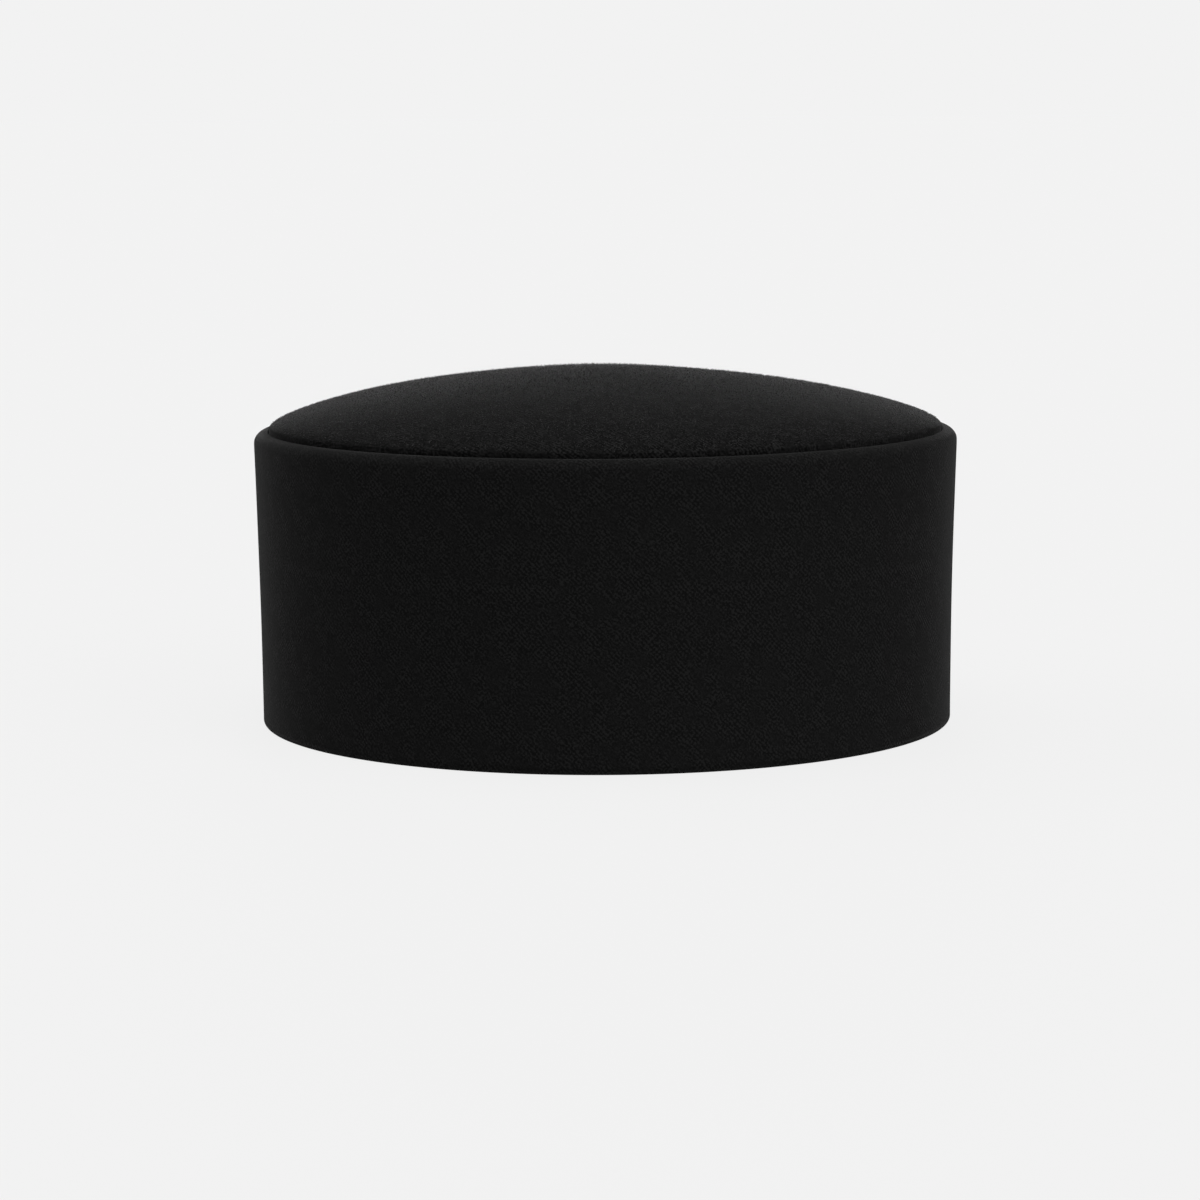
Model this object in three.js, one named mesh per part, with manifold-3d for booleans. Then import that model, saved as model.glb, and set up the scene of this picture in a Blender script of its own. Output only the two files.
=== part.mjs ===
// A pillbox hat of black wool twill, as it rests by itself on its rim.
// Two sewn pieces: an upright side band and a domed crown that is set inside the band's rolled lip.
// Millimetres, +Z up. The origin is the centre of the rim, on the plane that the hat rests on.
// -Y is the front of the hat, and the band's seam is at the centre back, +Y.

import * as THREE from 'three';
import { mergeVertices } from 'three/addons/utils/BufferGeometryUtils.js';
import Module from 'manifold-3d';

// The hat's outer shape.
const RIM_RADIUS = 94.5;
const LEAN = 1.4; // how much wider the wall is under the lip than at the rim
const LEAN_HEIGHT = 76;
const LEAN_POWER = 1.8; // over 1, so the wall starts upright and leans out towards the lip
const LIP_TOP = 80.3;
const LIP_ROLL = { width: 3.6, height: 3.4 };
const CROWN_EDGE_RADIUS = 91.6;
const CROWN_EDGE_HEIGHT = 81.1;
const CROWN_RISE = 15.5; // from the crown's edge to its crest
const CROWN_FULLNESS = 1.77; // 2 is a ball's cap, and less makes the middle more pointed
const CROWN_SHOULDER = 0.727; // 0.5 is the round edge of an ellipse, and 1 a sharp edge
const CREST_SHIFT = -3; // the crest sits a little to the left of the middle

// The cloth.
const WALL = 2.6;
const HEM_HEIGHT = 18;
const HEM_EXTRA = 1.1; // the layer that is folded up inside the rim
const RIM_ROUNDING = 1.1;
const ALLOWANCE_BOTTOM = 71.5; // where the turned-down seam allowances end inside
const SEAM_GAP = 0.35; // between the crown and the lip, in the groove that shows
const CROWN_THICKNESS = 3.0; // two layers of cloth with thin padding
const FLANGE = 2.2; // the crown's seam allowance
const BACK_SEAM = { depth: 0.6, halfWidth: 0.7, allowanceWidth: 8, allowanceThickness: 1.1 };
const OVERRUN = 2; // how far a cutting or joining solid runs past what it meets

// How finely the round shapes are faceted.
const AROUND = 72;
const WALL_HEIGHTS = [12, 24, 36, 48, 58, 68];
const ROUNDING_STEPS = 3;
const LIP_STEPS = 5;
const DOME_STEPS = 14;
const UNDERSIDE_STEPS = 11;
const ALLOWANCE_STEPS = 8;

const wool = () => new THREE.MeshStandardMaterial({ color: 0x1b1b1b, roughness: 0.95, metalness: 0 });

const wasm = await Module();
wasm.setup();

const lean = (z) => LEAN * (Math.min(Math.max(z, 0), LEAN_HEIGHT) / LEAN_HEIGHT) ** LEAN_POWER;
const wallRadius = (z) => RIM_RADIUS + lean(z);

// Points along a quarter of an ellipse, both ends included, as [radius, height].
function quarterRound(centre, width, height, from, steps) {
  const points = [];
  for (let i = 0; i <= steps; i += 1) {
    const angle = from + (i / steps) * (Math.PI / 2);
    points.push([centre[0] + width * Math.cos(angle), centre[1] + height * Math.sin(angle)]);
  }
  return points;
}

// Turns a closed profile of [radius, height] round the Z axis.
function turned(profile) {
  const points = profile.map(([radius, height]) => new THREE.Vector2(radius, height));
  const geometry = new THREE.LatheGeometry(points, AROUND);
  geometry.rotateX(Math.PI / 2);
  return geometry;
}

function solidOf(geometry) {
  const bare = geometry.clone();
  bare.deleteAttribute('normal');
  bare.deleteAttribute('uv');
  const merged = mergeVertices(bare, 1e-4);
  return new wasm.Manifold(new wasm.Mesh({
    numProp: 3,
    vertProperties: Float32Array.from(merged.attributes.position.array),
    triVerts: Uint32Array.from(merged.index.array),
  }));
}

function geometryOf(solid) {
  const mesh = solid.getMesh();
  const geometry = new THREE.BufferGeometry();
  geometry.setAttribute('position', new THREE.BufferAttribute(mesh.vertProperties, 3));
  geometry.setIndex(new THREE.BufferAttribute(mesh.triVerts, 1));
  geometry.computeVertexNormals();
  return geometry;
}

// The side band

// From the rim's flat resting face, up the outside, over the lip and down the inside.
function bandProfile() {
  const lipCentre = [wallRadius(LEAN_HEIGHT) - LIP_ROLL.width, LIP_TOP - LIP_ROLL.height];
  const insideLip = CROWN_EDGE_RADIUS + SEAM_GAP;
  const hemRadius = RIM_RADIUS - WALL - HEM_EXTRA;
  const innerWall = (z) => [wallRadius(z) - WALL, z];
  const heightsDown = WALL_HEIGHTS.filter((z) => z > HEM_HEIGHT && z < ALLOWANCE_BOTTOM).reverse();
  const profile = [
    ...quarterRound(
      [RIM_RADIUS - RIM_ROUNDING, RIM_ROUNDING], RIM_ROUNDING, RIM_ROUNDING, -Math.PI / 2, ROUNDING_STEPS,
    ),
    ...WALL_HEIGHTS.map((z) => [wallRadius(z), z]),
    ...quarterRound(lipCentre, LIP_ROLL.width, LIP_ROLL.height, 0, LIP_STEPS),
    [insideLip, LIP_TOP - SEAM_GAP],
    [insideLip, ALLOWANCE_BOTTOM],
    innerWall(ALLOWANCE_BOTTOM - SEAM_GAP),
    ...heightsDown.map(innerWall),
    innerWall(HEM_HEIGHT + SEAM_GAP),
    [hemRadius, HEM_HEIGHT],
    ...quarterRound(
      [hemRadius + RIM_ROUNDING, RIM_ROUNDING], RIM_ROUNDING, RIM_ROUNDING, -Math.PI, ROUNDING_STEPS,
    ),
  ];
  return [...profile, profile[0]];
}

// Stands a flat outline up along the wall at the centre back, leaning out as the wall does.
function uprightAtBack(outline, bottom, top) {
  const shape = new THREE.Shape(outline.map(([x, y]) => new THREE.Vector2(x, y)));
  const geometry = new THREE.ExtrudeGeometry(shape, {
    depth: top - bottom, steps: WALL_HEIGHTS.length, bevelEnabled: false,
  });
  geometry.translate(0, 0, bottom);
  const position = geometry.attributes.position;
  for (let i = 0; i < position.count; i += 1) {
    position.setY(i, position.getY(i) + lean(position.getZ(i)));
  }
  return geometry;
}

// The band's end seam: a shallow valley outside, and two allowances pressed open inside.
function seamValley() {
  const widthOutside = BACK_SEAM.halfWidth * (1 + OVERRUN / BACK_SEAM.depth);
  const outline = [
    [0, RIM_RADIUS - BACK_SEAM.depth],
    [widthOutside, RIM_RADIUS + OVERRUN],
    [-widthOutside, RIM_RADIUS + OVERRUN],
  ];
  return uprightAtBack(outline, -OVERRUN, LIP_TOP + OVERRUN);
}

function pressedAllowance() {
  const inside = RIM_RADIUS - WALL;
  const reach = BACK_SEAM.allowanceWidth / inside; // the angle to either side of the seam
  const arc = (radius, from, to) => Array.from({ length: ALLOWANCE_STEPS + 1 }, (_, i) => {
    const angle = from + (to - from) * (i / ALLOWANCE_STEPS);
    return [radius * Math.sin(angle), radius * Math.cos(angle)];
  });
  const outline = [
    ...arc(inside - BACK_SEAM.allowanceThickness, -reach, reach),
    ...arc(inside + WALL / 2, reach, -reach),
  ];
  return uprightAtBack(outline, HEM_HEIGHT - OVERRUN, ALLOWANCE_BOTTOM + OVERRUN);
}

function sideBand() {
  const solid = solidOf(turned(bandProfile()))
    .add(solidOf(pressedAllowance()))
    .subtract(solidOf(seamValley()));
  const mesh = new THREE.Mesh(geometryOf(solid), wool());
  mesh.name = 'side_band';
  return mesh;
}

// The crown

// Points of a dome from its crest down to its edge, closer together on the shoulder.
function dome(edgeRadius, edgeHeight, rise, steps) {
  return Array.from({ length: steps + 1 }, (_, i) => {
    const across = Math.sin((i / steps) * (Math.PI / 2));
    const height = edgeHeight + rise * (1 - across ** CROWN_FULLNESS) ** CROWN_SHOULDER;
    return [edgeRadius * across, height];
  });
}

function crown() {
  const innerRadius = CROWN_EDGE_RADIUS - FLANGE;
  const innerEdge = CROWN_EDGE_HEIGHT - FLANGE;
  const innerRise = CROWN_EDGE_HEIGHT + CROWN_RISE - CROWN_THICKNESS - innerEdge;
  const outside = dome(CROWN_EDGE_RADIUS, CROWN_EDGE_HEIGHT, CROWN_RISE, DOME_STEPS);
  const inside = dome(innerRadius, innerEdge, innerRise, UNDERSIDE_STEPS);
  const geometry = turned([
    ...inside,
    [innerRadius, ALLOWANCE_BOTTOM],
    [CROWN_EDGE_RADIUS, ALLOWANCE_BOTTOM],
    ...outside.reverse(),
  ]);
  const position = geometry.attributes.position;
  for (let i = 0; i < position.count; i += 1) {
    const across = Math.hypot(position.getX(i), position.getY(i)) / CROWN_EDGE_RADIUS;
    position.setX(i, position.getX(i) + CREST_SHIFT * Math.max(0, 1 - across ** 2));
  }
  geometry.computeVertexNormals();
  const mesh = new THREE.Mesh(geometry, wool());
  mesh.name = 'crown';
  return mesh;
}

const hat = new THREE.Group();
hat.add(sideBand(), crown());

export default hat;
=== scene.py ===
import math

import bpy
import numpy as np
from mathutils import Matrix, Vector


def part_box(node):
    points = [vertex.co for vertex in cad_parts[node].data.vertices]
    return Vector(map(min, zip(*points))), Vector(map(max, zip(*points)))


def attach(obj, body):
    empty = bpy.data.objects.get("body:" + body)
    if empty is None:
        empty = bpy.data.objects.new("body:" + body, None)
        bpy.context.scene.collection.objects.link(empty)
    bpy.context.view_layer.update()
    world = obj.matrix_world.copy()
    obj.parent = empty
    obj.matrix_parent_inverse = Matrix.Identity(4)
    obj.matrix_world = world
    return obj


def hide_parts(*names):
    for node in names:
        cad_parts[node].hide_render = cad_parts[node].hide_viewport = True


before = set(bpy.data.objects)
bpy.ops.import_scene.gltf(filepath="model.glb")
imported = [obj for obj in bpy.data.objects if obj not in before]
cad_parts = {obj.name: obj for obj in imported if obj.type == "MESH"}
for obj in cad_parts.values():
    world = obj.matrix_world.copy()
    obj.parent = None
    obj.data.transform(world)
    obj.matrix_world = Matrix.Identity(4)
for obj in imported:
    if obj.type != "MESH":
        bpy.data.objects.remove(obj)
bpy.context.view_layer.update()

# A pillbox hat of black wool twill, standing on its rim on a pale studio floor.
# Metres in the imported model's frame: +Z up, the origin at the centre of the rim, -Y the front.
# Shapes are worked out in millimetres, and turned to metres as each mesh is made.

MM = 0.001
BODY = "root"

# The hat's outer shape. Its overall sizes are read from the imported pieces.
_, band_high = (np.array(corner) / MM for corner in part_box("side_band"))
crown_low, crown_high = (np.array(corner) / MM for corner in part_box("crown"))
LEAN = 1.4  # how much wider the wall is under the lip than at the rim
LEAN_HEIGHT = 76.0  # where the wall has reached that
LEAN_POWER = 1.8  # more than 1, so it leans out most towards the top
RIM_RADIUS = band_high[0] - LEAN
LIP_SETTLING = 0.35  # how far the lip's cloth has sunk below its pressed height
LIP_TOP = band_high[2] - LIP_SETTLING
LIP_WIDTH, LIP_HEIGHT = 3.4, 3.0
CROWN_RADIUS = crown_high[0]
NAP_ROOM = 0.35  # how far the crown's cloth lies below its solid's top, to leave room for loose fibres
CROWN_TOP = crown_high[2] - NAP_ROOM
CROWN_RISE = 15.5 - NAP_ROOM
CROWN_EDGE = CROWN_TOP - CROWN_RISE
CROWN_FULLNESS = 1.78  # a power: the larger it is, the flatter the dome's top
CROWN_SHOULDER = 0.72  # a power: the smaller it is, the steeper the dome's shoulder
CREST_SHIFT = -2.0  # from the middle to the right, so the crest lies a little to the left

# The cloth.
WALL = 2.6
HEM_HEIGHT = 18.0
HEM_EXTRA = 1.1  # how far the hem stands in from the wall inside
RIM_ROUNDING = 1.1
ALLOWANCE_BOTTOM = crown_low[2]
SEAM_GAP = 0.45  # the groove between the crown and the lip
CROWN_THICKNESS = 3.0  # of the cloth, its padding and its backing together
FLANGE = 2.2  # the thickness of the crown's turned-down edge
CUT_EDGE = 0.5  # the rounding of a cut or folded edge
# The band's ends are sewn together in a valley at the back, and their allowances pressed open inside.
BACK_VALLEY = dict(depth=0.6, half_width=0.9)
BACK_ALLOWANCE = dict(width=8.0, thickness=1.1, crease=0.8)
BAND_WAVES = dict(seed=3, size=0.12, wavelength=90)  # the soft unevenness that blocking leaves
CROWN_WAVES = dict(seed=520, size=0.22, wavelength=70)
FIRM_RIM = 25.0  # the height over which the folded rim keeps the band even
WAVE_COUNT = 8  # how many waves the unevenness is made of
WAVE_VARIETY = (0.6, 1.6)  # the shortest and the longest of them, as shares of the usual wavelength

# How finely the cloth is meshed.
OUTSIDE_SPACING, INSIDE_SPACING = 1.25, 2.0
SEAM_SPACING = 1.5  # on the band's allowance, inside the lip
FLANGE_OUTSIDE, FLANGE_INSIDE = 1.2, 1.8  # on the crown's turned-down edge
LIP_STEPS, RIM_STEPS, HEM_STEPS, EDGE_STEPS = 14, 6, 5, 3  # points round a quarter turn
SEAM_COLUMNS, PLAIN_COLUMNS = 48, 384  # to each side of the back seam, and in the rest of the band
SEAM_CROWDING = 1.5  # a power: the larger it is, the closer the columns stand beside the seam
CROWN_RINGS = 84
SAME_POINT = 1e-6  # points of a section that are closer than this are one

# The weave: a 2/2 twill, whose ribs come back every four threads.
THREAD = 0.34  # from one thread to the next
TWILL_REPEAT = 4 * THREAD
REPEATS = 44  # twill repeats after which all the cloth's unevenness comes back too
TILE = REPEATS * TWILL_REPEAT
BACKING_TILES = 4

# The loose fibres on the crown. Real ones are 0.02 thick, too fine to show, so these are thicker and fewer.
NAP_SEED = 5
NAP_FIBRES = 45000
NAP_REACH = 0.99  # the share of the crown's area that bears them, from the middle out
NAP_LENGTH = (0.5, 1.0)
NAP_THINNING = 0.5  # how much shorter they are at the crown's edge, where the cloth is stretched
NAP_LIFT = (25, 65)  # degrees up from the cloth
NAP_SPREAD = 60  # degrees to either side of straight down the dome, the way that they are brushed
NAP_THICKNESS = 0.18
NAP_TUFT = 0.9  # the size of the tufts whose fibres are about the same shade
FIBRE_CELL = [(0.1, 0.1), (0.9, 0.1), (0.5, 0.9), (0.5, 0.4)]  # a fibre's corners in its square of the map

# The slanting stitches that hold the hem up inside.
STITCHES = 96
STITCH_SLANT = 1.6  # how far along the hem a stitch runs on its way up
SEWING_THREAD = 0.35
THREAD_SIDES = 6


# Shapes


def lean(height):
    """How far the wall stands out at a height, past its radius at the rim."""
    return LEAN * (np.clip(height, 0, LEAN_HEIGHT) / LEAN_HEIGHT) ** LEAN_POWER


def wall_radius(height):
    return RIM_RADIUS + lean(height)


def straight(start, end, spacing):
    """Points from start to end, both included, about spacing apart, as (radius, height)."""
    return np.linspace(start, end, max(1, round(math.dist(start, end) / spacing)) + 1)


def quarter(centre, width, height, start, steps):
    """Points on a quarter of an ellipse, anticlockwise from start quarters, as (radius, height)."""
    angle = (start + np.linspace(0, 1, steps + 1)) * math.pi / 2
    return np.stack([centre[0] + width * np.cos(angle), centre[1] + height * np.sin(angle)], 1)


def joined(*stretches):
    """One run of points from several, without the points that lie on each other."""
    points = np.concatenate(stretches)
    apart = np.linalg.norm(np.diff(points, axis=0), axis=1) > SAME_POINT
    return points[np.append(True, apart)]


def lengths_along(points):
    """How far along a run each of its points is."""
    return np.append(0, np.cumsum(np.linalg.norm(np.diff(points, axis=0), axis=1)))


def around(radius, angle):
    """The x and y of a point at an angle round the hat: 0 is the front, and a quarter turn the right."""
    return radius * np.sin(angle), -radius * np.cos(angle)


def unevenness(seed, across, along, size, wavelength):
    """The soft unevenness of blocked cloth: slow waves in many directions, together about size mm high."""
    rng = np.random.default_rng(seed)
    total = np.zeros(np.broadcast(across, along).shape)
    for _ in range(WAVE_COUNT):
        turn, phase = rng.uniform(0, 2 * math.pi, 2)
        pitch = 2 * math.pi / (wavelength * rng.uniform(*WAVE_VARIETY))
        total += np.sin(pitch * (across * math.cos(turn) + along * math.sin(turn)) + phase)
    return size * total * 2 / WAVE_COUNT


def piece(name, points, faces, places, material):
    """A mesh that rides with the hat. places are its face corners on the flat cloth, in mm."""
    mesh = bpy.data.meshes.new(name)
    mesh.from_pydata((points * MM).tolist(), [], faces.tolist())
    cloth = (places.reshape(-1) * MM).astype(np.float32)
    mesh.uv_layers.new(name="cloth").uv.foreach_set("vector", cloth)
    mesh.materials.append(material)
    mesh.shade_smooth()
    made = bpy.data.objects.new(name, mesh)
    bpy.context.collection.objects.link(made)
    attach(made, BODY)
    return made


def cloth_piece(name, points, faces, places, material, node):
    """A piece of twill in place of a CAD node, with a second map of the tiles in which its weave repeats."""
    made = piece(name, points, faces, places, material)
    tiles = (places.reshape(-1) / TILE).astype(np.float32)
    made.data.uv_layers.new(name="OFBake").uv.foreach_set("vector", tiles)
    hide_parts(node)
    return made


# The side band


def band_outline():
    """The band's section, a closed run from the flat of the rim up the outside, and down the inside."""
    lip = (wall_radius(LEAN_HEIGHT) - LIP_WIDTH, LIP_TOP - LIP_HEIGHT)
    seam = CROWN_RADIUS + SEAM_GAP
    hem = RIM_RADIUS - WALL - HEM_EXTRA
    up = np.arange(RIM_ROUNDING, lip[1], OUTSIDE_SPACING)
    down = np.arange(ALLOWANCE_BOTTOM - CUT_EDGE, HEM_HEIGHT + CUT_EDGE, -INSIDE_SPACING)
    return joined(
        quarter((RIM_RADIUS - RIM_ROUNDING, RIM_ROUNDING), RIM_ROUNDING, RIM_ROUNDING, -1, RIM_STEPS),
        np.stack([wall_radius(up), up], 1),
        quarter(lip, LIP_WIDTH, LIP_HEIGHT, 0, LIP_STEPS),
        quarter((lip[0], LIP_TOP - CUT_EDGE), lip[0] - seam, CUT_EDGE, 1, EDGE_STEPS),
        straight((seam, LIP_TOP - CUT_EDGE), (seam, ALLOWANCE_BOTTOM + CUT_EDGE), SEAM_SPACING),
        quarter((seam + CUT_EDGE, ALLOWANCE_BOTTOM + CUT_EDGE), CUT_EDGE, CUT_EDGE, 2, EDGE_STEPS),
        np.stack([wall_radius(down) - WALL, down], 1),
        straight((wall_radius(HEM_HEIGHT) - WALL, HEM_HEIGHT), (hem + CUT_EDGE, HEM_HEIGHT), CUT_EDGE),
        quarter((hem + CUT_EDGE, HEM_HEIGHT - CUT_EDGE), CUT_EDGE, CUT_EDGE, 1, EDGE_STEPS),
        straight((hem, HEM_HEIGHT - CUT_EDGE), (hem, RIM_ROUNDING), INSIDE_SPACING),
        quarter((hem + RIM_ROUNDING, RIM_ROUNDING), RIM_ROUNDING, RIM_ROUNDING, 2, HEM_STEPS),
    )


def band_angles():
    """Where the band's columns stand, from the back seam round to it, and closer together beside it."""
    reach = 2 * BACK_ALLOWANCE["width"] / RIM_RADIUS
    after = reach * np.linspace(0, 1, SEAM_COLUMNS, endpoint=False) ** SEAM_CROWDING
    plain = np.linspace(reach, 2 * math.pi - reach, PLAIN_COLUMNS, endpoint=False)
    before = 2 * math.pi - reach * np.linspace(1, 0, SEAM_COLUMNS, endpoint=False) ** SEAM_CROWDING
    return np.concatenate([after, plain, before]) + math.pi


def side_band(wool):
    """The band, a closed strip whose ends meet in the back seam."""
    outline, angle = band_outline(), band_angles()
    rows, columns = len(outline), len(angle)
    radius, height = outline[:, :1], outline[:, 1:]
    along = (angle - 2 * math.pi) * RIM_RADIUS
    waves = unevenness(across=along, along=height, **BAND_WAVES) * np.clip(height / FIRM_RIM, 0, 1)
    # Along the back seam the outside dips into a valley, and inside, below the lip, are the allowances.
    from_seam = RIM_RADIUS * math.pi - np.abs(along)
    lip_inside = radius < wall_radius(height) - LIP_WIDTH
    below_lip = (height > HEM_HEIGHT) & (height < ALLOWANCE_BOTTOM)
    inner = below_lip & (radius < wall_radius(height) - WALL / 2)
    outer = ~below_lip & ~lip_inside & (radius > RIM_RADIUS - WALL / 2) | below_lip & ~inner
    valley = BACK_VALLEY["depth"] * np.exp(-(from_seam / BACK_VALLEY["half_width"]) ** 2)
    edge = np.clip((BACK_ALLOWANCE["width"] - from_seam) / CUT_EDGE + 0.5, 0, 1)
    crease = np.exp(-(from_seam / BACK_ALLOWANCE["crease"]) ** 2)
    pressed = BACK_ALLOWANCE["thickness"] * edge * (1 - crease)
    x, y = around(radius + waves - valley * outer - pressed * inner, angle)
    points = np.stack([x, y, np.broadcast_to(height, x.shape)], -1).reshape(-1, 3)
    row, column = np.meshgrid(np.arange(rows), np.arange(columns), indexing="ij")
    corner_rows = np.stack([row, row, row + 1, row + 1], -1).reshape(-1, 4)
    corner_columns = np.stack([column, column + 1, column + 1, column], -1).reshape(-1, 4)
    faces = corner_rows % rows * columns + corner_columns % columns
    down_cloth = lengths_along(np.append(outline, outline[:1], 0))
    round_cloth = np.append(along, math.pi * RIM_RADIUS)
    places = np.stack([round_cloth[corner_columns], down_cloth[corner_rows]], -1)
    return cloth_piece("band_cloth", points, faces, places, wool, "side_band")


def hem_stitches(thread):
    """Slanting stitches from the hem over its edge into the wall, which they just catch."""
    hem, wall = RIM_RADIUS - WALL - HEM_EXTRA, wall_radius(HEM_HEIGHT) - WALL
    clear, buried = -SEWING_THREAD / 2, SEWING_THREAD / 2
    # The points of a stitch: how far from the hat's axis, and how high above the hem's edge.
    route = np.array([
        (hem + buried, -1.9), (hem + clear, -1.4), (hem + clear, -0.2),
        ((hem + wall) / 2 + clear, 0.4), (wall + clear, 1.0), (wall + buried, 1.4),
    ])
    angle = np.linspace(0, 2 * math.pi, STITCHES, endpoint=False)[:, None]
    slant = np.linspace(0, STITCH_SLANT / hem, len(route))
    x, y = around(route[:, 0], angle + slant)
    middle = np.stack([x, y, np.broadcast_to(HEM_HEIGHT + route[:, 1], x.shape)], -1)
    ahead = np.gradient(middle, axis=1)
    ahead /= np.linalg.norm(ahead, axis=-1, keepdims=True)
    side = np.cross(ahead, np.stack([*around(np.ones(x.shape), angle + slant), np.zeros(x.shape)], -1))
    side /= np.linalg.norm(side, axis=-1, keepdims=True)
    turn = np.linspace(0, 2 * math.pi, THREAD_SIDES, endpoint=False)[:, None]
    ring = side[:, :, None] * np.cos(turn) + np.cross(ahead, side)[:, :, None] * np.sin(turn)
    points = (middle[:, :, None] + ring * SEWING_THREAD / 2).reshape(-1, 3)
    index = np.arange(len(points)).reshape(STITCHES, len(route), THREAD_SIDES)
    lower, upper = index[:, :-1], index[:, 1:]
    walls = np.stack([lower, np.roll(lower, -1, 2), np.roll(upper, -1, 2), upper], -1).reshape(-1, 4)
    # Two four-sided faces close each end of the six-sided thread.
    start, end = index[:, 0], index[:, -1]
    caps = [start[:, [3, 2, 1, 0]], start[:, [5, 4, 3, 0]], end[:, [0, 1, 2, 3]], end[:, [0, 3, 4, 5]]]
    faces = np.concatenate([walls, *caps])
    along = lengths_along(route)[faces // THREAD_SIDES % len(route)]
    places = np.stack([along, faces % THREAD_SIDES / THREAD_SIDES * math.pi * SEWING_THREAD], -1)
    return piece("hem_stitches", points, faces, places, thread)


# The crown


def swelling(across):
    """The share of the crown's rise at a share of the way out from its middle."""
    return np.clip(1 - across ** CROWN_FULLNESS, 0, 1) ** CROWN_SHOULDER


def dome(edge_radius, edge_height, rise, steps):
    """A dome's section from its crest to its edge, with points closer together on the shoulder."""
    across = np.sin(np.linspace(0, math.pi / 2, steps + 1))
    return np.stack([edge_radius * across, edge_height + rise * swelling(across)], 1)


def settled(radius, angle, height):
    """A point of the crown, moved as its cloth has settled: the crest to one side, and soft waves."""
    x, y = around(radius, angle)
    inwards = np.clip(1 - (radius / CROWN_RADIUS) ** 2, 0, 1)
    waves = unevenness(across=x, along=y, **CROWN_WAVES) * np.sqrt(inwards)
    return np.stack([x + CREST_SHIFT * inwards, y, height + waves], -1)


def disc_grid(rings):
    """A square grid bent into a disc: each point's ring and angle, the faces, and the points on the edge."""
    side = np.arange(-rings, rings + 1)
    i, j = np.meshgrid(side, side, indexing="ij")
    ring = np.maximum(np.abs(i), np.abs(j))
    # Each side of a square ring becomes a quarter of the turn. start is its middle, in eighths of a turn.
    wide = np.abs(i) >= np.abs(j)
    share = np.where(wide, j, -i) / np.where(wide, np.where(i == 0, 1, i), np.where(j == 0, 1, j))
    start = np.where(wide, np.where(i < 0, 4, 0), np.where(j < 0, 6, 2))
    angle = (start + share) * math.pi / 4
    index = np.arange(i.size).reshape(i.shape)
    faces = np.stack([index[:-1, :-1], index[1:, :-1], index[1:, 1:], index[:-1, 1:]], -1).reshape(-1, 4)
    edge = np.concatenate([index[-1, :-1], index[:0:-1, -1], index[0, :0:-1], index[:-1, 0]])
    return ring.ravel(), angle.ravel(), faces, edge


def crown(wool):
    """The crown, a disc of padded cloth with its edge turned down, and its backing, a second disc."""
    inner_radius, inner_edge = CROWN_RADIUS - FLANGE, CROWN_EDGE - FLANGE
    top = dome(CROWN_RADIUS, CROWN_EDGE, CROWN_RISE, CROWN_RINGS)
    under = dome(inner_radius, inner_edge, CROWN_TOP - CROWN_THICKNESS - inner_edge, CROWN_RINGS)[::-1]
    bottom = ALLOWANCE_BOTTOM + CUT_EDGE
    turned_down = joined(
        straight(top[-1], (CROWN_RADIUS, bottom), FLANGE_OUTSIDE),
        quarter((CROWN_RADIUS - CUT_EDGE, bottom), CUT_EDGE, -CUT_EDGE, 0, EDGE_STEPS),
        quarter((inner_radius + CUT_EDGE, bottom), CUT_EDGE, -CUT_EDGE, 1, EDGE_STEPS),
        straight((inner_radius, bottom), under[0], FLANGE_INSIDE),
    )[1:-1]
    outline = np.concatenate([top, turned_down, under])
    # Each point's step along the outline: the top disc, the hoops of the turned-down edge, then the backing.
    ring, angle, faces, edge = disc_grid(CROWN_RINGS)
    hoop_count = len(turned_down)
    hoop_steps = np.repeat(CROWN_RINGS + 1 + np.arange(hoop_count), len(edge))
    step = np.concatenate([ring, hoop_steps, len(outline) - 1 - ring])
    turn = np.concatenate([angle, np.tile(angle[edge], hoop_count), angle])
    second_disc = len(ring) + hoop_count * len(edge)
    between = len(ring) + np.arange(hoop_count * len(edge)).reshape(hoop_count, -1)
    hoops = np.concatenate([edge[None], between, edge[None] + second_disc])
    upper, lower = hoops[:-1], hoops[1:]
    walls = np.stack([upper, lower, np.roll(lower, -1, 1), np.roll(upper, -1, 1)], -1).reshape(-1, 4)
    all_faces = np.concatenate([faces, walls, faces[:, ::-1] + second_disc])
    radius, height = outline[step].T
    # Places on the flat cloth run out from the middle of each disc, so that the twill stays straight
    # across it. The backing's lie a whole number of tiles away from the outside's.
    length = lengths_along(outline)
    outside = np.stack(around(length[step], turn), -1)
    backing = np.stack(around(length[-1] - length[step], turn), -1) + BACKING_TILES * TILE
    is_backing = step[all_faces].max(1) > CROWN_RINGS + hoop_count // 2
    places = np.where(is_backing[:, None, None], backing[all_faces], outside[all_faces])
    points = settled(radius, turn, height)
    return cloth_piece("crown_cloth", points, all_faces, places, wool, "crown")


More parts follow.
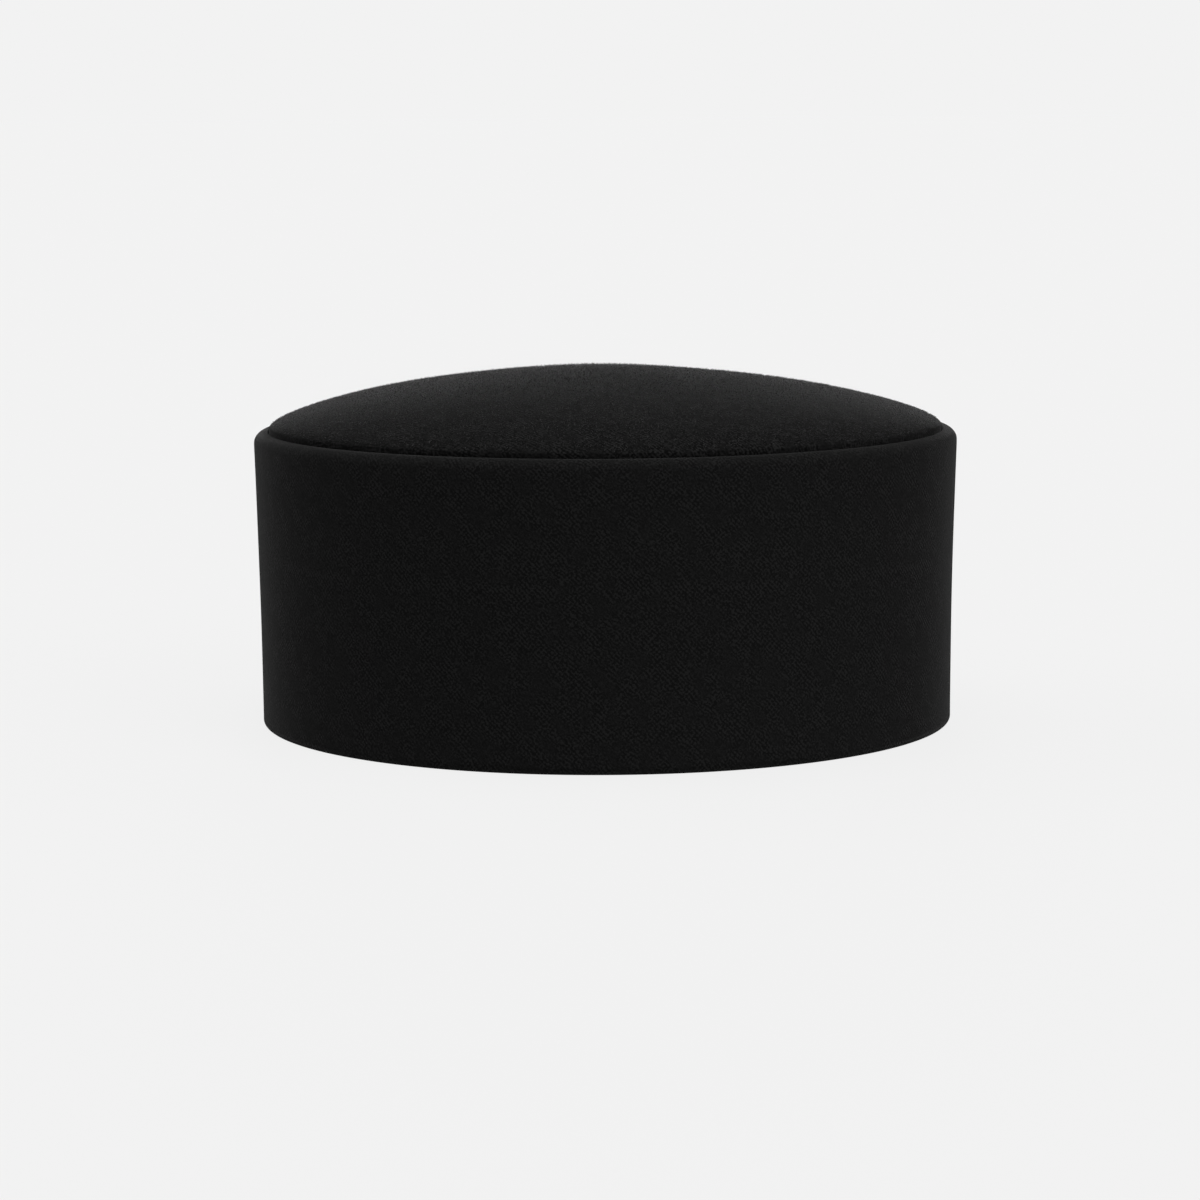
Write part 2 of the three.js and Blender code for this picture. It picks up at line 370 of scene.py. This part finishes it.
def crown_nap(fibre):
    """The loose fibres all over the crown, each a thin sliver from its root in the cloth to its tip."""
    rng = np.random.default_rng(NAP_SEED)
    across = np.sqrt(rng.uniform(0, NAP_REACH, NAP_FIBRES))
    angle = rng.uniform(0, 2 * math.pi, NAP_FIBRES)
    root = settled(CROWN_RADIUS * across, angle, CROWN_EDGE + CROWN_RISE * swelling(across))
    near = 0.002  # the share of the way out, to each side of a root, over which the dome's fall is taken
    drop = swelling(np.abs(across - near)) - swelling(across + near)
    fall = drop * CROWN_RISE / (2 * near * CROWN_RADIUS)
    upright = np.stack([*around(fall, angle), np.ones(NAP_FIBRES)], 1)
    upright /= np.linalg.norm(upright, axis=1, keepdims=True)
    down = np.stack([*around(np.ones(NAP_FIBRES), angle), -fall], 1)
    down /= np.linalg.norm(down, axis=1, keepdims=True)
    turn = np.radians(rng.uniform(-NAP_SPREAD, NAP_SPREAD, (NAP_FIBRES, 1)))
    flat = down * np.cos(turn) + np.cross(upright, down) * np.sin(turn)
    lift = np.radians(rng.uniform(*NAP_LIFT, (NAP_FIBRES, 1)))
    length = rng.uniform(*NAP_LENGTH, (NAP_FIBRES, 1)) * (1 - NAP_THINNING * across[:, None] ** 2)
    tip = root + length * (flat * np.cos(lift) + upright * np.sin(lift))
    side = np.cross(upright, flat)
    corners = [
        root + NAP_THICKNESS / 2 * (side * math.cos(corner) + upright * math.sin(corner))
        for corner in np.radians([90, 210, 330])
    ]
    points = np.stack([*corners, tip], 1).reshape(-1, 3)
    sliver = np.array([[0, 2, 1], [0, 1, 3], [1, 2, 3], [2, 0, 3]])
    faces = (4 * np.arange(NAP_FIBRES)[:, None, None] + sliver).reshape(-1, 3)
    places = root[faces // 4, :2]
    nap = piece("crown_nap", points, faces, places, fibre)
    # Each fibre has a shade of its own, so the second map gives it a square of its own.
    cells = math.ceil(math.sqrt(NAP_FIBRES))
    cell = np.stack(np.divmod(faces // 4, cells), -1)
    in_cell = np.array(FIBRE_CELL)[faces % 4]
    own = ((cell + in_cell) / cells).reshape(-1).astype(np.float32)
    nap.data.uv_layers.new(name="OFBake").uv.foreach_set("vector", own)


# Materials


def linear(hex_colour):
    """An sRGB hex colour as the linear numbers that Blender wants."""
    parts = [int(hex_colour[i:i + 2], 16) / 255 for i in (1, 3, 5)]
    return [p / 12.92 if p <= 0.04045 else ((p + 0.055) / 1.055) ** 2.4 for p in parts] + [1.0]


def add(tree, kind, inputs=None, **settings):
    """Adds a shader node, sets or links its inputs by name or number, and sets the node's own settings."""
    node = tree.nodes.new("ShaderNode" + kind)
    for name, value in settings.items():
        setattr(node, name, value)
    for key, value in (inputs or {}).items():
        if isinstance(value, bpy.types.Node):
            value = value.outputs[0]
        if isinstance(value, bpy.types.NodeSocket):
            tree.links.new(value, node.inputs[key])
        else:
            node.inputs[key].default_value = value
    return node


# Most of a noise's values lie in this range.
NOISE_RANGE = {"From Min": 0.35, "From Max": 0.65}


def material(name):
    """A new material and its empty node tree."""
    new = bpy.data.materials.new(name)
    new.use_nodes = True
    new.node_tree.nodes.clear()
    return new, new.node_tree


def wool_twill(name, dark, light, fuzz_size, sheen, sheen_roughness):
    """Black worsted wool, woven as a 2/2 twill and milled: fine diagonal ribs half hidden by short curled
    fibres, without gloss, and paler where it turns away from the eye."""
    rib_height, step_height, fuzz_height, thread_height = 0.24, 0.16, 2.2, 0.35
    relief = 0.05  # mm for each unit of these heights
    milled_patch, push_size = 4.5, 1.9  # mm across
    hidden, clear = 0.45, 1.75  # how high the cloth's relief stands where milling hid most and least of it
    far, near = 4.0, 1.2  # how many ribs' widths milling pushed the ribs aside there
    pit, tip = -0.2, 0.6  # the heights that get the darkest painted shade and the lightest painted light
    few_tips = 1.6  # a power: the larger it is, the fewer fibres are painted light
    wool, tree = material(name)

    # Places on the cloth, in turns of the tile, so that every pattern comes back after a tile.
    places = add(tree, "UVMap", uv_map="cloth")
    turns = {0: places, "Scale": 2 * math.pi / (TILE * MM)}
    place = add(tree, "VectorMath", turns, operation="SCALE")
    cosines = add(tree, "SeparateXYZ", {0: add(tree, "VectorMath", {0: place}, operation="COSINE")})
    sines = add(tree, "SeparateXYZ", {0: add(tree, "VectorMath", {0: place}, operation="SINE")})
    point = add(tree, "CombineXYZ", {0: cosines.outputs[0], 1: sines.outputs[0], 2: cosines.outputs[1]})

    def features(size):
        """The inputs of a noise that comes back after a tile, with features about size mm across."""
        return {"Vector": point, "W": sines.outputs[1], "Scale": TILE / (2 * math.pi * size)}

    # Milling has hidden the weave more in some patches than in others, and pushed its ribs about.
    patches = add(tree, "TexNoise", features(milled_patch) | {"Detail": 0.0}, noise_dimensions="4D")
    milling = NOISE_RANGE | {"Value": patches}
    clearness = add(tree, "MapRange", milling | {"To Min": hidden, "To Max": clear})
    farthest = add(tree, "MapRange", milling | {"To Min": far * 2 * math.pi, "To Max": near * 2 * math.pi})
    pushes = features(push_size) | {"Detail": 1.0, "Roughness": 0.5}
    pushed = add(tree, "TexNoise", pushes, noise_dimensions="4D").outputs["Color"]
    pushed = add(tree, "SeparateColor", {0: pushed})

    def ribs(direction, push):
        """Even ribs along one diagonal of the cloth, pushed to either side of where they were woven."""
        across = {0: place, 1: (REPEATS, REPEATS * direction, 0)}
        turn = add(tree, "VectorMath", across, operation="DOT_PRODUCT").outputs["Value"]
        either_side = add(tree, "Math", {0: push, 1: 0.5}, operation="SUBTRACT")
        turn = add(tree, "Math", {0: either_side, 1: farthest, 2: turn}, operation="MULTIPLY_ADD")
        return add(tree, "Math", {0: turn}, operation="SINE")

    def thread(across, along, side):
        """How high a thread stands: round across, and over or under two others in turn."""
        share = add(tree, "Math", {0: across}, operation="FRACT")
        off_centre = add(tree, "Math", {0: share, 1: 2.0, 2: -1.0}, operation="MULTIPLY_ADD")
        square = add(tree, "Math", {0: off_centre, 1: off_centre}, operation="MULTIPLY")
        roundness = add(tree, "Math", {0: square, 1: -1.0, 2: 1.0}, operation="MULTIPLY_ADD")
        number = add(tree, "Math", {0: across}, operation="FLOOR")
        crossing = add(tree, "Math", {0: number, 1: along}, operation="ADD")
        phase = add(tree, "Math", {0: crossing, 1: math.pi / 2}, operation="MULTIPLY")
        wave = add(tree, "Math", {0: phase}, operation="SINE")
        over = add(tree, "Math", {0: wave, 1: 0.5 * side, 2: 0.5}, operation="MULTIPLY_ADD")
        return add(tree, "Math", {0: roundness, 1: over}, operation="MULTIPLY")

    count = {0: place, "Scale": 4 * REPEATS / (2 * math.pi)}
    counts = add(tree, "SeparateXYZ", {0: add(tree, "VectorMath", count, operation="SCALE")})
    warp, weft = counts.outputs[0], counts.outputs[1]
    threads = {0: thread(warp, weft, 1), 1: thread(weft, warp, -1)}
    weave = add(tree, "Math", threads, operation="MAXIMUM")
    # Over the threads lie curled fibres, ribs that fall to the right, and fainter steps across the ribs.
    curls = features(fuzz_size) | {"Detail": 1.0, "Roughness": 0.4, "Distortion": 0.3}
    curls = add(tree, "TexNoise", curls, noise_dimensions="4D")
    curls = add(tree, "Math", {0: curls, 1: 0.5}, operation="SUBTRACT")
    fuzz = add(tree, "Math", {0: curls, 1: fuzz_height}, operation="MULTIPLY")
    falling = {0: ribs(1, pushed.outputs[0]), 1: rib_height, 2: fuzz}
    falling = add(tree, "Math", falling, operation="MULTIPLY_ADD")
    steps = {0: ribs(-1, pushed.outputs[1]), 1: step_height, 2: falling}
    steps = add(tree, "Math", steps, operation="MULTIPLY_ADD")
    grain = add(tree, "Math", {0: steps, 1: clearness}, operation="MULTIPLY")
    height = add(tree, "Math", {0: weave, 1: thread_height, 2: grain}, operation="MULTIPLY_ADD")
    bump = add(tree, "Bump", {"Strength": 1.0, "Distance": relief * MM, "Height": height})
    # Painted light and shade: high fibres are painted lighter, as they would catch more light, and the pits
    # between them darker, as shade would fall there; few stand highest.
    relief_painted_shade = add(tree, "MapRange", {"Value": height, "From Min": pit, "From Max": tip})
    relief_painted_shade = add(tree, "Math", {0: relief_painted_shade, 1: few_tips}, operation="POWER")
    colour = add(tree, "Mix", {0: relief_painted_shade, 6: linear(dark), 7: linear(light)}, data_type="RGBA")
    shader = add(tree, "BsdfPrincipled", {
        "Base Color": colour.outputs[2], "Roughness": 0.9, "Specular IOR Level": 0.0, "Normal": bump,
        "Sheen Weight": sheen, "Sheen Roughness": sheen_roughness, "Sheen Tint": linear("#ffffff"),
    })
    add(tree, "OutputMaterial", {"Surface": shader})
    return wool


def loose_wool():
    """Single black wool fibres, raised by milling: no gloss. Fibres take dye unevenly, and a tuft that
    stands clear of the rest catches more light, so some show paler than others."""
    wool, tree = material("loose wool fibres, black")
    place = add(tree, "UVMap", uv_map="cloth")  # the same all over a fibre: the place of its root
    fibre = add(tree, "TexWhiteNoise", {"Vector": place}, noise_dimensions="2D")
    tufts = add(tree, "TexNoise", {"Vector": place, "Scale": 1 / (NAP_TUFT * MM), "Detail": 0.0})
    tuft = add(tree, "MapRange", NOISE_RANGE | {"Value": tufts})
    shade = add(tree, "Mix", {0: 0.5, 2: fibre, 3: tuft})
    mixed = {0: shade, 6: linear("#060606"), 7: linear("#484848")}
    colour = add(tree, "Mix", mixed, data_type="RGBA")
    shader = add(tree, "BsdfPrincipled", {
        "Base Color": colour.outputs[2], "Roughness": 0.9, "Specular IOR Level": 0.0,
        "Sheen Weight": 0.08, "Sheen Roughness": 0.25, "Sheen Tint": linear("#ffffff"),
    })
    add(tree, "OutputMaterial", {"Surface": shader})
    return wool


def sewing_thread():
    """Black polyester sewing thread, spun and twisted: a soft gleam, and strands that wind round it."""
    twist, strands_round, strand_height = 0.9, 2, 0.04  # mm, but for the number of strands
    thread, tree = material("polyester sewing thread, twisted, black")
    place = add(tree, "UVMap", uv_map="cloth")
    winding = (2 * math.pi / (twist * MM), strands_round * 2 / (SEWING_THREAD * MM), 0)
    turn = add(tree, "VectorMath", {0: place, 1: winding}, operation="DOT_PRODUCT").outputs["Value"]
    strands = add(tree, "Math", {0: turn}, operation="SINE")
    bump = add(tree, "Bump", {"Strength": 1.0, "Distance": strand_height * MM, "Height": strands})
    # Painted shade: the grooves between the strands are painted darker and their crests lighter.
    strand_painted_shade = add(tree, "MapRange", {"Value": strands, "From Min": -1.0, "From Max": 1.0})
    colour = add(tree, "Mix", {0: strand_painted_shade, 6: linear("#0c0c0d"), 7: linear("#222224")}, data_type="RGBA")
    shader = add(tree, "BsdfPrincipled", {
        "Base Color": colour.outputs[2], "Roughness": 0.55, "Specular IOR Level": 0.3, "Normal": bump,
    })
    add(tree, "OutputMaterial", {"Surface": shader})
    return thread


# The studio

CAMERA_SENSOR = 36.0
CAMERA_LENS = 113.87
CAMERA_PLACE = (-1.7, -1036.6, 169.4)
CAMERA_DOWN = 7.54  # degrees
CAMERA_ROLL = -0.37  # degrees
CAMERA_SIGHT = (0.05, 100.0)  # metres, from the nearest to the farthest thing that it can show
PAPER = "#f2f2f2"
FLOOR_RADIUS = 30.0  # metres
FLOOR_SIDES = 64
FLOOR_GLOW = 0.93  # the share of the paper's brightness that is its own, so the hat's shadow stays faint
SKY = 0.2
# The softness is how wide a light looks from the hat, in degrees. Azimuth 0 is behind the camera.
LAMPS = {
    "front light": dict(strength=2.0, softness=50, elevation=30, azimuth=45),
    "left light": dict(strength=1.15, softness=50, elevation=30, azimuth=-90),
    "right light": dict(strength=0.4, softness=50, elevation=30, azimuth=90),
    "left back light": dict(strength=1.55, softness=50, elevation=30, azimuth=-130),
    "right back light": dict(strength=0.85, softness=50, elevation=30, azimuth=130),
    "top light": dict(strength=2.2, softness=50, elevation=90, azimuth=0),
    "low back light": dict(strength=8.0, softness=25, elevation=4, azimuth=180),
}


def camera():
    """The camera, in front of the hat and a little above it."""
    data = bpy.data.cameras.new("camera")
    data.sensor_width = CAMERA_SENSOR
    data.lens = CAMERA_LENS
    data.clip_start, data.clip_end = CAMERA_SIGHT
    eye = bpy.data.objects.new("camera", data)
    place = Matrix.Translation([c * MM for c in CAMERA_PLACE])
    tilt = Matrix.Rotation(math.radians(90 - CAMERA_DOWN), 4, "X")
    roll = Matrix.Rotation(math.radians(CAMERA_ROLL), 4, "Z")
    eye.matrix_world = place @ tilt @ roll
    bpy.context.collection.objects.link(eye)
    bpy.context.scene.camera = eye


def lamp(name, strength, softness, elevation, azimuth):
    """A distant soft light, which a positive azimuth moves to the camera's right."""
    data = bpy.data.lights.new(name, "SUN")
    data.energy = strength
    data.angle = math.radians(softness)
    light = bpy.data.objects.new(name, data)
    round_hat = Matrix.Rotation(math.radians(azimuth), 4, "Z")
    light.matrix_world = round_hat @ Matrix.Rotation(math.radians(90 - elevation), 4, "X")
    bpy.context.collection.objects.link(light)


def studio():
    """A room of even pale light, whose far walls are the same paper as the floor."""
    world = bpy.data.worlds.new("studio")
    bpy.context.scene.world = world
    world.use_nodes = True
    tree = world.node_tree
    tree.nodes.clear()
    seen = add(tree, "LightPath").outputs["Is Camera Ray"]
    light = add(tree, "Background", {"Color": (1, 1, 1, 1), "Strength": SKY})
    wall = add(tree, "Background", {"Color": linear(PAPER), "Strength": 1.0})
    add(tree, "OutputWorld", {"Surface": add(tree, "MixShader", {0: seen, 1: light, 2: wall})})
    received = SKY  # all the light that the floor gets, so that the paper shows as its own colour
    for name, values in LAMPS.items():
        lamp(name, **values)
        received += values["strength"] / math.pi * math.sin(math.radians(values["elevation"]))

    bpy.ops.mesh.primitive_circle_add(vertices=FLOOR_SIDES, radius=FLOOR_RADIUS, fill_type="NGON")
    floor = bpy.context.object
    floor.name = "floor"
    paper, tree = material("paper floor, matte, pale grey")
    shade = linear(PAPER)[0]
    own = add(tree, "Emission", {"Color": linear(PAPER), "Strength": FLOOR_GLOW})
    matte = add(tree, "BsdfDiffuse", {"Color": [shade * (1 - FLOOR_GLOW) / received] * 3 + [1.0]})
    top = add(tree, "AddShader", {0: own, 1: matte})
    # From below, the floor is clear, so that the hat's inside can be seen through it.
    under = add(tree, "NewGeometry").outputs["Backfacing"]
    both = add(tree, "MixShader", {0: under, 1: top, 2: add(tree, "BsdfTransparent")})
    add(tree, "OutputMaterial", {"Surface": both})
    floor.data.materials.append(paper)
    bpy.context.scene.view_settings.view_transform = "Standard"


band_twill = wool_twill(
    "wool twill, woven and milled, black", dark="#0e0e0e", light="#191919",
    fuzz_size=0.5, sheen=0.05, sheen_roughness=0.3)
# Painted shade: the crown's base colour is darker than the band's to offset the strong top light that falls
# on it. Its coarser fuzz and its sheen are the unpressed nap's own.
crown_twill_painted_darker = wool_twill(
    "wool twill, unpressed, black, painted darker", dark="#090909", light="#1a1a1a",
    fuzz_size=0.65, sheen=0.06, sheen_roughness=0.22)
band = side_band(band_twill)
stitches = hem_stitches(sewing_thread())
padded_crown = crown(crown_twill_painted_darker)
crown_nap(loose_wool())
studio()
camera()
